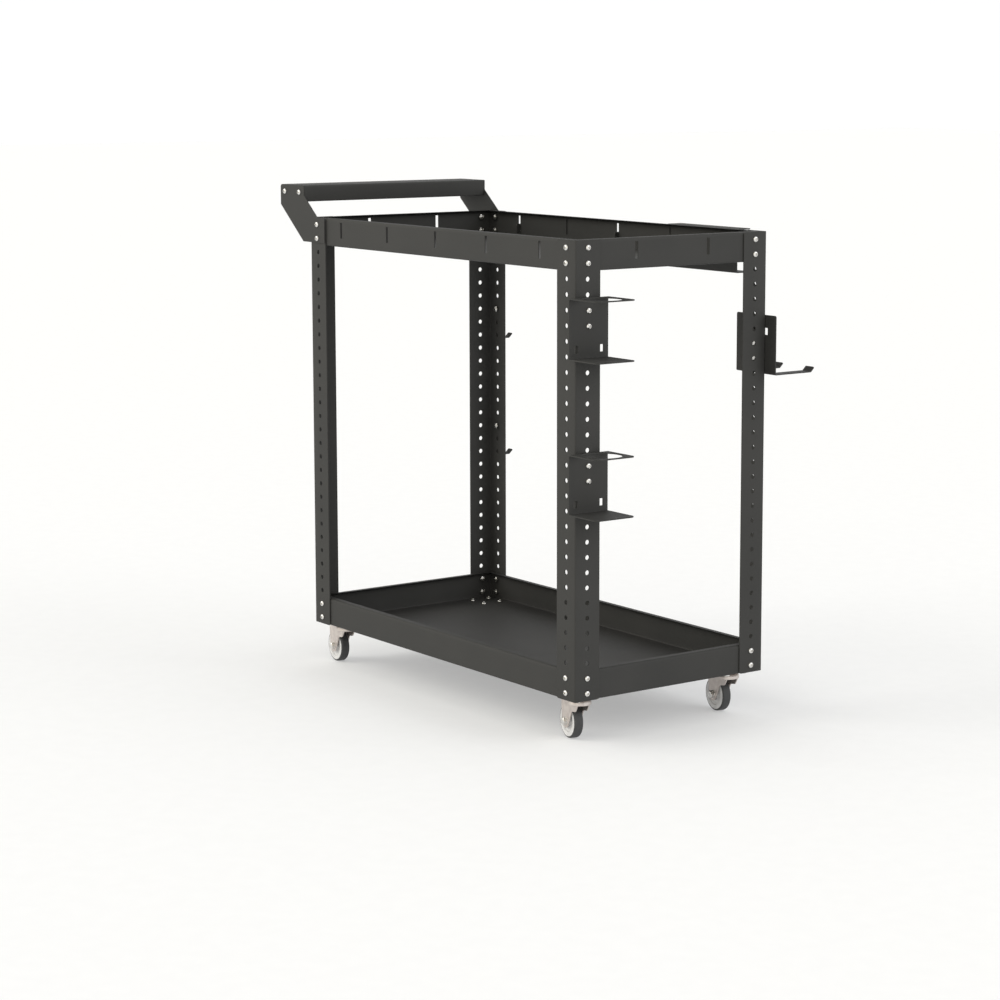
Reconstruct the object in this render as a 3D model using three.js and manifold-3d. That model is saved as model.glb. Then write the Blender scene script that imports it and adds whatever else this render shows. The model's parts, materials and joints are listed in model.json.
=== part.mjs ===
// A four-post tool cart in bent sheet steel: two trays bolted inside four
// perforated angle posts, a push handle, bolt-on tool holders and four swivel
// casters. Millimetres, +Z up. X runs along the cart with the push handle at
// the -X end, and the -Y side is called the right side.
import * as THREE from 'three';
import { mergeVertices } from 'three/addons/utils/BufferGeometryUtils.js';
import Module from 'manifold-3d';

const wasm = await Module();
wasm.setup();

const INCH = 25.4;
const GAP = 0.3;

// Frame
const LENGTH = 32 * INCH;
const WIDTH = 16 * INCH;
const POST_HEIGHT = 30 * INCH;
const HOLE_ROWS = 30;
const HOLE_PITCH = INCH;
const HOLE_RADIUS = 4;
const HOLE_INSET = 25.2;
const FLANGE = 50.4;
const POST_SHEET = 2;

// Trays
const TRAY_HEIGHT = 2 * INCH;
const TRAY_SHEET = 1.5;
const TRAY_LIP = 12.7;
const SLOT_PITCH = 6 * INCH;
const SLOT_WIDTH = 6;
const SLOT_FLOOR = 16;
const SLOT_TOP = 44.5;

// Casters
const CASTER_HEIGHT = 79.4;
const CASTER_INSET = 41.3;
const CASTER_TRAIL = 31;
const CASTER_PLATE = 50;
const CASTER_BOLT_PITCH = 1.5 * INCH;
const WHEEL_RADIUS = 30;
const WHEEL_WIDTH = 17;
const TREAD_DEPTH = 4;
const WHEEL_SIDES = 24;
const TURNED_SIDES = 16;
const YOKE_SHEET = 2;
const CROWN_RADIUS = 19.5;
const AXLE_RADIUS = 4;

// Push handle
const HANDLE_REACH = 103;
const HANDLE_WIDTH = 3.25 * INCH;
const HANDLE_RISE = 57;
const HANDLE_SKIRT = 30;
const HANDLE_LIP = 8;
const BRACKET_SHEET = 1.5;

// Bolt-on holders
const HOLDER_SHEET = 2;
const CAN_WIDTH = 80;
const CAN_DEPTH = 76;
const CAN_HEIGHT = 100.4;
const CAN_HOLE_RADIUS = 33.7;
const FORK_SPAN = 4 * INCH;
const FORK_REACH = 82;
const FORK_FINGER = 21.3;
const HOOK_WIDTH = 12.7;
const HOOK_REACH = 22;
const HOOK_PLATE = 66;
const TIP_RUN = 8;
const RACK_HEIGHT = 3 * INCH;
const RACK_DEPTH = 31.75;
const TAB_INSET = 11.9;
const TAB_HEIGHT = 17.8;

// Fasteners
const SCREW_RADIUS = 3.1;
const SCREW_HEAD = 5.5;
const NUT_RADIUS = 6.3;
const NUT_HEIGHT = 5.6;

// Levels and half sizes that follow from the sizes above
const HALF_LENGTH = LENGTH / 2;
const HALF_WIDTH = WIDTH / 2;
const POST_TOP = CASTER_HEIGHT + POST_HEIGHT;
const TOP_TRAY_FLOOR = POST_TOP - TRAY_HEIGHT;
const WALL_INSET = POST_SHEET + GAP;
const WALL_INNER = WALL_INSET + TRAY_SHEET;
const AXLE_LEVEL = WHEEL_RADIUS;
const WHEEL_CORNER = WHEEL_RADIUS / Math.cos(Math.PI / WHEEL_SIDES);

const COLOURS = {
  paint: { color: 0x383835, roughness: 0.5, metalness: 0.1 },
  zinc: { color: 0xb8aea6, roughness: 0.35, metalness: 0.9 },
  steel: { color: 0xd9d6cf, roughness: 0.25, metalness: 1 },
  plastic: { color: 0xb9b9b7, roughness: 0.5, metalness: 0 },
  rubber: { color: 0x3a3b3c, roughness: 0.8, metalness: 0 },
};

const X = new THREE.Vector3(1, 0, 0);
const Y = new THREE.Vector3(0, 1, 0);
const Z = new THREE.Vector3(0, 0, 1);
const PLANES = {
  xy: new THREE.Matrix4().makeBasis(X, Y, Z),
  xz: new THREE.Matrix4().makeBasis(X, Z, Y.clone().negate()),
  yz: new THREE.Matrix4().makeBasis(Y, Z, X),
};

const cart = new THREE.Group();

// The height of the n-th post hole, counted from the top.
function holeLevel(row) {
  return POST_TOP - HOLE_PITCH / 2 - row * HOLE_PITCH;
}

// A closed three.js geometry as a manifold solid, without flat triangles.
function solid(geometry) {
  const bare = geometry.clone();
  bare.deleteAttribute('normal');
  bare.deleteAttribute('uv');
  const merged = mergeVertices(bare, 1e-4);
  const corners = merged.index.array;
  const kept = [];
  for (let i = 0; i < corners.length; i += 3) {
    const [a, b, c] = [corners[i], corners[i + 1], corners[i + 2]];
    if (a !== b && b !== c && c !== a) kept.push(a, b, c);
  }
  return new wasm.Manifold(new wasm.Mesh({
    numProp: 3,
    vertProperties: Float32Array.from(merged.attributes.position.array),
    triVerts: Uint32Array.from(kept),
  }));
}

function block(x0, x1, y0, y1, z0, z1) {
  const geometry = new THREE.BoxGeometry(x1 - x0, y1 - y0, z1 - z0);
  geometry.translate((x0 + x1) / 2, (y0 + y1) / 2, (z0 + z1) / 2);
  return solid(geometry);
}

// An outline in the plane xy, xz or yz, drawn out from the level `start`.
function prism(plane, start, thickness, outline) {
  const shape = new THREE.Shape(outline.map(([u, v]) => new THREE.Vector2(u, v)));
  const geometry = new THREE.ExtrudeGeometry(shape, { depth: thickness, bevelEnabled: false });
  geometry.applyMatrix4(PLANES[plane]);
  if (plane === 'xy') geometry.translate(0, 0, start);
  if (plane === 'xz') geometry.translate(0, start + thickness, 0);
  if (plane === 'yz') geometry.translate(start, 0, 0);
  return solid(geometry);
}

// A flat sheet with punched holes.
function sheet(plane, start, thickness, outline, holes = []) {
  const blank = prism(plane, start, thickness, outline);
  const punches = holes.map((hole) => prism(plane, start - 1, thickness + 2, hole));
  return punches.reduce((plate, punch) => plate.subtract(punch), blank);
}

function rectangle(u0, u1, v0, v1) {
  return [[u0, v0], [u1, v0], [u1, v1], [u0, v1]];
}

function polygon(u, v, radius, sides, turn = 0) {
  const points = [];
  for (let i = 0; i < sides; i += 1) {
    const angle = turn + (i / sides) * 2 * Math.PI;
    points.push([u + radius * Math.cos(angle), v + radius * Math.sin(angle)]);
  }
  return points;
}

// An arc of points from one angle to another, in degrees.
function arc(u, v, radius, from, to, steps) {
  const points = [];
  for (let i = 0; i <= steps; i += 1) {
    const angle = THREE.MathUtils.degToRad(from + ((to - from) * i) / steps);
    points.push([u + radius * Math.cos(angle), v + radius * Math.sin(angle)]);
  }
  return points;
}

// A turned solid about +Z from [radius, level] pairs.
function turned(profile, sides) {
  const points = profile.map(([r, level]) => new THREE.Vector2(r, level));
  const geometry = new THREE.LatheGeometry(points, sides);
  geometry.rotateX(Math.PI / 2);
  return solid(geometry);
}

function joined(pieces) {
  return pieces.reduce((whole, piece) => whole.add(piece));
}

// Mirrors a solid across Y = 0.
function mirrored(piece) {
  return piece.mirror([0, 1, 0]);
}

function addMesh(name, piece, look, parent = cart) {
  const data = piece.getMesh();
  const geometry = new THREE.BufferGeometry();
  geometry.setAttribute('position', new THREE.BufferAttribute(data.vertProperties, 3));
  geometry.setIndex(new THREE.BufferAttribute(data.triVerts, 1));
  geometry.computeVertexNormals();
  const mesh = new THREE.Mesh(geometry, new THREE.MeshStandardMaterial(COLOURS[look]));
  mesh.name = name;
  parent.add(mesh);
  return mesh;
}

// An angle post for one corner. Both flanges carry the same column of holes.
function post(endSign, sideSign) {
  const along = (inset) => endSign * (HALF_LENGTH - inset);
  const across = (inset) => sideSign * (HALF_WIDTH - inset);
  const sorted = (a, b) => [Math.min(a, b), Math.max(a, b)];
  const columns = (centre) => {
    const holes = [];
    for (let row = 0; row < HOLE_ROWS; row += 1) {
      holes.push(polygon(centre, holeLevel(row), HOLE_RADIUS, 6, Math.PI / 6));
    }
    return holes;
  };
  const [x0, x1] = sorted(along(0), along(FLANGE));
  const [y0, y1] = sorted(across(0), across(FLANGE));
  const [sideStart] = sorted(across(0), across(POST_SHEET));
  const [endStart] = sorted(along(0), along(POST_SHEET));
  const side = sheet('xz', sideStart, POST_SHEET, rectangle(x0, x1, CASTER_HEIGHT, POST_TOP),
    columns(along(HOLE_INSET)));
  const end = sheet('yz', endStart, POST_SHEET, rectangle(y0, y1, CASTER_HEIGHT, POST_TOP),
    columns(across(HOLE_INSET)));
  return side.add(end);
}

// An open tray with an inward lip and two bolt holes at each end of its
// walls. The top tray's walls have hook slots, and the bottom tray's floor
// has four bolt holes at each corner for the casters.
function tray(floorLevel, isBottom) {
  const halfX = HALF_LENGTH - WALL_INSET;
  const halfY = HALF_WIDTH - WALL_INSET;
  const top = floorLevel + TRAY_HEIGHT;
  const slot = (centre) => rectangle(centre - SLOT_WIDTH / 2, centre + SLOT_WIDTH / 2,
    floorLevel + SLOT_FLOOR, floorLevel + SLOT_TOP);
  const wallHoles = (half, slots) => {
    const holes = slots.map((centre) => slot(centre));
    for (const sign of [-1, 1]) {
      for (const level of [0.5 * HOLE_PITCH, 1.5 * HOLE_PITCH]) {
        const centre = sign * (half + WALL_INSET - HOLE_INSET);
        holes.push(polygon(centre, floorLevel + level, HOLE_RADIUS, 6, Math.PI / 6));
      }
    }
    return holes;
  };
  const longSlots = isBottom ? [] : [-2, -1, 0, 1, 2];
  const endSlots = isBottom ? [] : [-0.5, 0.5];
  const longHoles = wallHoles(halfX, longSlots.map((i) => i * SLOT_PITCH));
  const endHoles = wallHoles(halfY, endSlots.map((i) => i * SLOT_PITCH));
  const bolts = isBottom ? casterBolts() : [];
  const floorHoles = bolts.map(([x, y]) => polygon(x, y, HOLE_RADIUS, 6));
  const inner = rectangle(-halfX + TRAY_LIP, halfX - TRAY_LIP, -halfY + TRAY_LIP, halfY - TRAY_LIP);
  return joined([
    sheet('xy', floorLevel, TRAY_SHEET, rectangle(-halfX, halfX, -halfY, halfY), floorHoles),
    sheet('xy', top - TRAY_SHEET, TRAY_SHEET, rectangle(-halfX, halfX, -halfY, halfY), [inner]),
    sheet('xz', -halfY, TRAY_SHEET, rectangle(-halfX, halfX, floorLevel, top), longHoles),
    sheet('xz', halfY - TRAY_SHEET, TRAY_SHEET, rectangle(-halfX, halfX, floorLevel, top), longHoles),
    sheet('yz', -halfX, TRAY_SHEET, rectangle(-halfY, halfY, floorLevel, top), endHoles),
    sheet('yz', halfX - TRAY_SHEET, TRAY_SHEET, rectangle(-halfY, halfY, floorLevel, top), endHoles),
  ]);
}

function casterCentre(endSign, sideSign) {
  return [endSign * (HALF_LENGTH - CASTER_INSET), sideSign * (HALF_WIDTH - CASTER_INSET)];
}

function casterBolts() {
  const half = CASTER_BOLT_PITCH / 2;
  const bolts = [];
  for (const endSign of [-1, 1]) {
    for (const sideSign of [-1, 1]) {
      const [x, y] = casterCentre(endSign, sideSign);
      bolts.push([x - half, y - half], [x + half, y - half]);
      bolts.push([x - half, y + half], [x + half, y + half]);
    }
  }
  return bolts;
}

// A button-head screw with its nut on, along +Z. The head's seat is at zero
// and the nut's seat is `grip` below it.
function screw(grip) {
  const headTop = 0.6 * SCREW_HEAD;
  const nutSeat = -grip - 2 * GAP;
  return turned([
    [0, nutSeat - NUT_HEIGHT], [NUT_RADIUS, nutSeat - NUT_HEIGHT], [NUT_RADIUS, nutSeat],
    [SCREW_RADIUS, nutSeat], [SCREW_RADIUS, 0], [SCREW_HEAD, 0], [0.6 * SCREW_HEAD, headTop],
    [0, headTop],
  ], 6);
}

// Adds a screw whose head faces `direction` with its seat at `seat`.
function addScrew(name, seat, direction, grip) {
  const mesh = addMesh(name, screw(grip), 'steel');
  mesh.position.copy(seat).addScaledVector(direction, GAP);
  mesh.quaternion.setFromUnitVectors(Z, direction);
}

// The side bracket of the push handle, on the -Y face of the rear post.
function handleBracket() {
  const rear = -HALF_LENGTH - HANDLE_REACH;
  const front = rear + HANDLE_WIDTH;
  const top = POST_TOP + HANDLE_RISE;
  const heel = POST_TOP - 46.3;
  const inner = -HALF_LENGTH + FLANGE;
  const outline = [
    [rear, top - 37.5], [front - 3, heel], [inner, heel], [inner, POST_TOP],
    [-HALF_LENGTH + 26, POST_TOP], [front, top - 18.5], [front, top],
    ...arc(rear + 6, top - 6, 6, 90, 180, 3),
  ];
  const holes = [];
  for (const x of handleScrewColumns()) {
    holes.push(polygon(x, handleScrewLevel(), HOLE_RADIUS, 6));
  }
  for (const row of [0, 1]) {
    holes.push(polygon(-HALF_LENGTH + HOLE_INSET, holeLevel(row), HOLE_RADIUS, 6));
  }
  return sheet('xz', -HALF_WIDTH - GAP - BRACKET_SHEET, BRACKET_SHEET, outline, holes);
}

function handleScrewColumns() {
  const centre = -HALF_LENGTH - HANDLE_REACH + HANDLE_WIDTH / 2;
  return [centre - INCH, centre + INCH];
}

function handleScrewLevel() {
  return POST_TOP + HANDLE_RISE - INCH / 2;
}

// The grip: an inverted channel with a return lip under each skirt and a
// folded tab at each end, which the brackets' screws go through.
function handleBar() {
  const rear = -HALF_LENGTH - HANDLE_REACH + GAP;
  const front = rear + HANDLE_WIDTH - 2 * GAP;
  const top = POST_TOP + HANDLE_RISE;
  const low = top - HANDLE_SKIRT;
  const t = BRACKET_SHEET;
  const channel = [
    [rear, low], [rear + HANDLE_LIP, low], [rear + HANDLE_LIP, low + t], [rear + t, low + t],
    [rear + t, top - t], [front - t, top - t], [front - t, low + t],
    [front - HANDLE_LIP, low + t], [front - HANDLE_LIP, low], [front, low],
    ...arc(front - 3, top - 3, 3, 0, 90, 2), ...arc(rear + 3, top - 3, 3, 90, 180, 2),
  ];
  const tabHoles = handleScrewColumns().map((x) => polygon(x, handleScrewLevel(), HOLE_RADIUS, 6));
  const tab = (start) => sheet('xz', start, t,
    rectangle(rear + 4, front - 4, low + 4, top - t / 2), tabHoles);
  return joined([
    sheet('xz', -HALF_WIDTH, WIDTH, channel),
    tab(-HALF_WIDTH),
    tab(HALF_WIDTH - t),
  ]);
}

// A spray-can holder on the outer face of the front right post: a back plate,
// a ring at the top and a solid shelf at the bottom.
function canHolder(upperRow) {
  const back = HALF_LENGTH + GAP;
  const centreY = -HALF_WIDTH + HOLE_INSET;
  const top = holeLevel(upperRow) + 21.3;
  const low = top - CAN_HEIGHT;
  const [y0, y1] = [centreY - CAN_WIDTH / 2, centreY + CAN_WIDTH / 2];
  const front = back + CAN_DEPTH;
  const outline = [
    [back, y0], ...arc(front - 8, y0 + 8, 8, -90, 0, 3),
    ...arc(front - 8, y1 - 8, 8, 0, 90, 3), [back, y1],
  ];
  const mount = [
    polygon(centreY, holeLevel(upperRow), HOLE_RADIUS, 6),
    polygon(centreY, holeLevel(upperRow + 1), HOLE_RADIUS, 6),
  ];
  for (const sign of [-1, 1]) {
    const y = centreY + sign * 26;
    mount.push(rectangle(y - 4, y + 4, low + 11, low + 23));
  }
  const opening = polygon(back + CAN_DEPTH / 2, centreY, CAN_HOLE_RADIUS, 24);
  return joined([
    sheet('yz', back, HOLDER_SHEET, rectangle(y0, y1, low, top), mount),
    sheet('xy', top - HOLDER_SHEET, HOLDER_SHEET, outline, [opening]),
    sheet('xy', low, HOLDER_SHEET, outline),
  ]);
}

// A finger in the YZ plane from a plate at `start`, with a tip at 45 degrees.
function finger(x0, x1, start, reach, level) {
  const t = HOLDER_SHEET;
  const bend = start + reach;
  const outline = [
    [start, level], [bend, level], [bend + TIP_RUN, level + TIP_RUN],
    [bend + TIP_RUN - 0.7 * t, level + TIP_RUN + 0.7 * t], [bend - 0.4 * t, level + t],
    [start, level + t],
  ];
  return sheet('yz', x0, x1 - x0, outline);
}

// The wide two-finger hook on the left face of the front left post.
function forkHook() {
  const face = HALF_WIDTH + GAP;
  const centreX = HALF_LENGTH - HOLE_INSET;
  const [x0, x1] = [centreX - FORK_SPAN / 2, centreX + FORK_SPAN / 2];
  const low = holeLevel(8) - 28.5;
  const top = low + FORK_SPAN;
  const plate = [
    [x0, low], [x1, low], ...arc(x1 - 8, top - 8, 8, 0, 90, 3),
    ...arc(x0 + 8, top - 8, 8, 90, 180, 3),
  ];
  const mount = [7, 8].map((row) => polygon(centreX, holeLevel(row), HOLE_RADIUS, 6));
  for (const sign of [-1, 1]) {
    const x = centreX + sign * 26;
    mount.push(rectangle(x - 4, x + 4, top - 34, top - 22));
  }
  return joined([
    sheet('xz', face, HOLDER_SHEET, plate, mount),
    finger(x0, x0 + FORK_FINGER, face, FORK_REACH, low),
    finger(x1 - FORK_FINGER, x1, face, FORK_REACH, low),
  ]);
}

// A narrow single hook on the left face of the rear left post.
function singleHook(screwRow) {
  const face = HALF_WIDTH + GAP;
  const centreX = -HALF_LENGTH + HOLE_INSET;
  const [x0, x1] = [centreX - HOOK_WIDTH / 2, centreX + HOOK_WIDTH / 2];
  const low = holeLevel(screwRow + 2) - 6.5;
  const mount = [polygon(centreX, holeLevel(screwRow), HOLE_RADIUS, 6)];
  return joined([
    sheet('xz', face, HOLDER_SHEET, rectangle(x0, x1, low, low + HOOK_PLATE), mount),
    finger(x0, x1, face, HOOK_REACH, low),
  ]);
}

// A hook tab in the YZ plane, which goes through a slot of the left wall of
// the top tray and hangs behind its lower edge.
function wallTab(x0, wallFace) {
  const slotFloor = TOP_TRAY_FLOOR + SLOT_FLOOR;
  const inside = HALF_WIDTH - WALL_INNER;
  const tip = HALF_WIDTH - TAB_INSET;
  const top = slotFloor + 13.2;
  const low = top - TAB_HEIGHT;
  const neck = slotFloor + GAP;
  return sheet('yz', x0, HOLDER_SHEET, [
    [wallFace, neck], [wallFace, top], [tip, top], [tip, low], [inside - GAP, low],
    [inside - GAP, neck],
  ]);
}

// The channel rack on the left wall of the top tray, near the front post.
function channelRack() {
  const face = HALF_WIDTH - WALL_INSET + GAP;
  const t = HOLDER_SHEET;
  const [x0, x1] = [HALF_LENGTH - 266, HALF_LENGTH - 75.5];
  const top = POST_TOP;
  const low = top - RACK_HEIGHT;
  const profile = [
    [face, low], [face + RACK_DEPTH, low], [face + RACK_DEPTH, low + t], [face + t, low + t],
    [face + t, top - t], [face + RACK_DEPTH, top - t], [face + RACK_DEPTH, top], [face, top],
  ];
  return joined([
    sheet('yz', x0, x1 - x0, profile),
    wallTab(SLOT_PITCH - 1, face + t / 2),
    wallTab(2 * SLOT_PITCH - 1, face + t / 2),
  ]);
}

// The long shelf rack on the left wall of the top tray, behind the handle
// end. Its upper corners are cut away beside the slots that its tabs use.
function shelfRack() {
  const face = HALF_WIDTH - WALL_INSET + GAP;
  const t = HOLDER_SHEET;
  const [x0, x1] = [-2 * SLOT_PITCH + 0.7, 0.7 + t];
  const low = TOP_TRAY_FLOOR + 8;
  const shoulder = TOP_TRAY_FLOOR + 27;
  const top = POST_TOP - 5;
  const web = [
    [x0, low], [x1, low], [x1, shoulder], [x1 - 24, shoulder], [x1 - 24, top],
    [x0 + 24, top], [x0 + 24, shoulder], [x0, shoulder],
  ];
  const cheek = [[face, low], [face + RACK_DEPTH, low], [face + t, shoulder], [face, shoulder]];
  return joined([
    sheet('xz', face, t, web),
    sheet('xy', low, t, rectangle(x0, x1, face, face + RACK_DEPTH)),
    sheet('yz', x0, t, cheek),
    sheet('yz', x1 - t, t, cheek),
    wallTab(x0, face + t / 2),
    wallTab(x1 - t, face + t / 2),
  ]);
}

// The fixed half of a caster: bolt plate, upper race and riveted kingpin.
function casterMount() {
  const half = CASTER_PLATE / 2;
  const bolt = CASTER_BOLT_PITCH / 2;
  const top = CASTER_HEIGHT - GAP;
  const holes = [];
  for (const [x, y] of [[-bolt, -bolt], [bolt, -bolt], [bolt, bolt], [-bolt, bolt]]) {
    holes.push(polygon(x, y, 3.4, 6));
  }
  const plate = sheet('xy', top - 2.5, 2.5, rectangle(-half, half, -half, half), holes);
  const kingpin = turned([
    [0, top - 15], [7, top - 15], [7, top - 12.5], [4.5, top - 12.5], [4.5, top - 6],
    [CROWN_RADIUS - 2.5, top - 6], [CROWN_RADIUS - 2.5, top - 2], [0, top - 2],
  ], TURNED_SIDES);
  return plate.add(kingpin);
}

// The swivelling yoke: a cupped crown and two cheeks down to the axle.
// Locally X points back along the trail from the kingpin.
function casterYoke() {
  const top = CASTER_HEIGHT - GAP - 6 - GAP;
  const skirt = top - 12.5;
  const cup = turned([
    [4.5 + GAP, top], [4.5 + GAP, top - 2.2], [CROWN_RADIUS - YOKE_SHEET, top - 2.2],
    [CROWN_RADIUS - YOKE_SHEET, skirt], [CROWN_RADIUS, skirt], [CROWN_RADIUS, top - 2],
    [CROWN_RADIUS - 2, top], [4.5 + GAP, top],
  ], TURNED_SIDES);
  const inner = WHEEL_WIDTH / 2 + 1.5;
  const cheekOutline = [
    [-15, top - 1.5], [-15, skirt + 4], [3, skirt - 7], [17, AXLE_LEVEL + 12],
    ...arc(CASTER_TRAIL, AXLE_LEVEL, 10.5, 190, 350, 5),
    [40, AXLE_LEVEL + 22], [43, top - 6], [40, top - 1.5],
  ];
  const axleHole = [polygon(CASTER_TRAIL, AXLE_LEVEL, AXLE_RADIUS + GAP, 12)];
  const cheek = (start) => sheet('xz', start, YOKE_SHEET, cheekOutline, axleHole);
  const web = block(CROWN_RADIUS - 6, 26, -inner - 0.5, inner + 0.5, top - 2.2, top - 0.2);
  return joined([cup, cheek(inner), cheek(-inner - YOKE_SHEET), web]);
}

// The axle bolt with its head and nut outside the cheeks, along Y.
function casterAxle() {
  const seat = WHEEL_WIDTH / 2 + 1.5 + YOKE_SHEET + GAP;
  const half = [
    [0, seat + 4.5], [6.5, seat + 4.5], [6.5, seat], [AXLE_RADIUS, seat],
  ];
  const profile = [...half, ...half.map(([r, level]) => [r, -level]).reverse()];
  return placedOnAxle(turned(profile.reverse(), 8));
}

// Turns a solid about +Z into one about +Y, centred on the axle.
function placedOnAxle(piece) {
  return piece.rotate([90, 0, 0]).translate([CASTER_TRAIL, 0, AXLE_LEVEL]);
}

// A wheel ring stands on a flat of its polygon, so it is turned by half a side.
function wheelRing(profile) {
  return placedOnAxle(turned(profile, WHEEL_SIDES).rotate([0, 0, 180 / WHEEL_SIDES]));
}

function wheelCore() {
  const rim = WHEEL_CORNER - TREAD_DEPTH - GAP;
  const face = WHEEL_WIDTH / 2;
  const bore = AXLE_RADIUS + GAP;
  const half = [
    [bore, face + 1.2], [8, face + 1.2], [9, face - 3], [19, face - 3], [20.5, face], [rim, face],
  ];
  const profile = [...half, ...half.map(([r, level]) => [r, -level]).reverse(), half[0]];
  return wheelRing(profile.reverse());
}

function wheelTyre() {
  const inner = WHEEL_CORNER - TREAD_DEPTH;
  const face = WHEEL_WIDTH / 2;
  const half = [[inner, face], [WHEEL_CORNER - 2, face], [WHEEL_CORNER, face - 2.5]];
  const profile = [...half, ...half.map(([r, level]) => [r, -level]).reverse(), half[0]];
  return wheelRing(profile.reverse());
}

// Adds one caster at a corner, its wheel trailing at `trailAngle` degrees.
function addCaster(corner, endSign, sideSign, trailAngle) {
  const [x, y] = casterCentre(endSign, sideSign);
  const fixed = new THREE.Group();
  fixed.position.set(x, y, 0);
  cart.add(fixed);
  const swivel = new THREE.Group();
  swivel.rotation.z = THREE.MathUtils.degToRad(trailAngle);
  fixed.add(swivel);
  addMesh(`caster_mount_${corner}`, casterMount(), 'zinc', fixed);
  addMesh(`caster_yoke_${corner}`, casterYoke(), 'zinc', swivel);
  addMesh(`caster_axle_${corner}`, casterAxle(), 'steel', swivel);
  addMesh(`caster_wheel_${corner}`, wheelCore(), 'plastic', swivel);
  addMesh(`caster_tyre_${corner}`, wheelTyre(), 'rubber', swivel);
}

// Corners: front is +X, right is -Y.
const CORNERS = [
  ['front_right', 1, -1, 169],
  ['rear_right', -1, -1, 174],
  ['front_left', 1, 1, 172],
  ['rear_left', -1, 1, 172],
];
for (const [corner, endSign, sideSign, trailAngle] of CORNERS) {
  addMesh(`post_${corner}`, post(endSign, sideSign), 'paint');
  addCaster(corner, endSign, sideSign, trailAngle);
}
addMesh('tray_top', tray(TOP_TRAY_FLOOR, false), 'paint');
addMesh('tray_bottom', tray(CASTER_HEIGHT, true), 'paint');

addMesh('handle_bar', handleBar(), 'paint');
addMesh('handle_bracket_right', handleBracket(), 'paint');
addMesh('handle_bracket_left', mirrored(handleBracket()), 'paint');

const CAN_ROWS = { upper: 4, lower: 14 };
const HOOK_ROWS = { upper: 7, lower: 16 };
for (const place of ['upper', 'lower']) {
  addMesh(`can_holder_${place}`, canHolder(CAN_ROWS[place]), 'paint');
  addMesh(`single_hook_${place}`, singleHook(HOOK_ROWS[place]), 'paint');
}
addMesh('fork_hook', forkHook(), 'paint');
addMesh('channel_rack', channelRack(), 'paint');
addMesh('shelf_rack', shelfRack(), 'paint');

// Screws of the handle: through bracket and bar tab, and through bracket,
// post and tray wall.
const bracketFace = HALF_WIDTH + GAP + BRACKET_SHEET;
const tabGrip = 2 * BRACKET_SHEET + GAP;
const cornerGrip = BRACKET_SHEET + GAP + WALL_INNER;
for (const [side, sign] of [['right', -1], ['left', 1]]) {
  const outward = new THREE.Vector3(0, sign, 0);
  handleScrewColumns().forEach((x, i) => {
    const seat = new THREE.Vector3(x, sign * bracketFace, handleScrewLevel());
    addScrew(`screw_handle_${side}_${i + 1}`, seat, outward, tabGrip);
  });
  for (const row of [0, 1]) {
    const seat = new THREE.Vector3(-HALF_LENGTH + HOLE_INSET, sign * bracketFace, holeLevel(row));
    addScrew(`screw_bracket_${side}_${row + 1}`, seat, outward, cornerGrip);
  }
}

// Screws of the bolt-on holders, through holder and post.
const holderGrip = HOLDER_SHEET + GAP + POST_SHEET;
for (const place of ['upper', 'lower']) {
  for (const step of [0, 1]) {
    const seat = new THREE.Vector3(HALF_LENGTH + GAP + HOLDER_SHEET, -HALF_WIDTH + HOLE_INSET,
      holeLevel(CAN_ROWS[place] + step));
    addScrew(`screw_can_${place}_${step + 1}`, seat, X, holderGrip);
  }
  const seat = new THREE.Vector3(-HALF_LENGTH + HOLE_INSET, HALF_WIDTH + GAP + HOLDER_SHEET,
    holeLevel(HOOK_ROWS[place]));
  addScrew(`screw_hook_${place}`, seat, Y, holderGrip);
}
for (const row of [7, 8]) {
  const seat = new THREE.Vector3(HALF_LENGTH - HOLE_INSET, HALF_WIDTH + GAP + HOLDER_SHEET,
    holeLevel(row));
  addScrew(`screw_fork_${row - 6}`, seat, Y, holderGrip);
}

// The origin is the middle of the cart's footprint on the floor.
const bounds = new THREE.Box3().setFromObject(cart);
const middle = bounds.getCenter(new THREE.Vector3());
cart.position.set(-middle.x, -middle.y, -bounds.min.z);

export default cart;
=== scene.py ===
"""Looks of a sheet-steel tool cart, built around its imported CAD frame.

Every sheet-metal part is drawn as its flat pattern, with its holes and slots, and folded along a
section with real bend radii. Fasteners and casters are turned and stamped shapes. Lengths are in
metres, and places and sizes come from the boxes of the CAD nodes.
"""
import json
import math
from bisect import bisect_right

import bmesh
import bpy
from mathutils import Matrix, Vector
from mathutils.geometry import delaunay_2d_cdt


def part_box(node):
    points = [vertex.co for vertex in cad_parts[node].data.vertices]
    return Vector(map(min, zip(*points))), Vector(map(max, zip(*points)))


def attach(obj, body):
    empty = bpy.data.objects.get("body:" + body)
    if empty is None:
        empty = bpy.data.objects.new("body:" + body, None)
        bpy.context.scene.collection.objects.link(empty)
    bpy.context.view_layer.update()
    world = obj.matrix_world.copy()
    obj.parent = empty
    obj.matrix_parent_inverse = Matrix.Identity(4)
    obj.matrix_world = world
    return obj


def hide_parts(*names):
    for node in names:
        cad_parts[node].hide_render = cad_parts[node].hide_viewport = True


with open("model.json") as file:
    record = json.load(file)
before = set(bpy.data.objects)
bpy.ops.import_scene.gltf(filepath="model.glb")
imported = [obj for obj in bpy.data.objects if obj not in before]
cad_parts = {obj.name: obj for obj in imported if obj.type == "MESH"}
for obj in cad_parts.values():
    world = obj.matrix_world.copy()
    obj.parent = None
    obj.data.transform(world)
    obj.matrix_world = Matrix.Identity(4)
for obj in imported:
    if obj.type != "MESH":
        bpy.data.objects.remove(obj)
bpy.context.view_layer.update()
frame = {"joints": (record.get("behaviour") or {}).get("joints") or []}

MM = 0.001
INCH = 25.4 * MM

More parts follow.
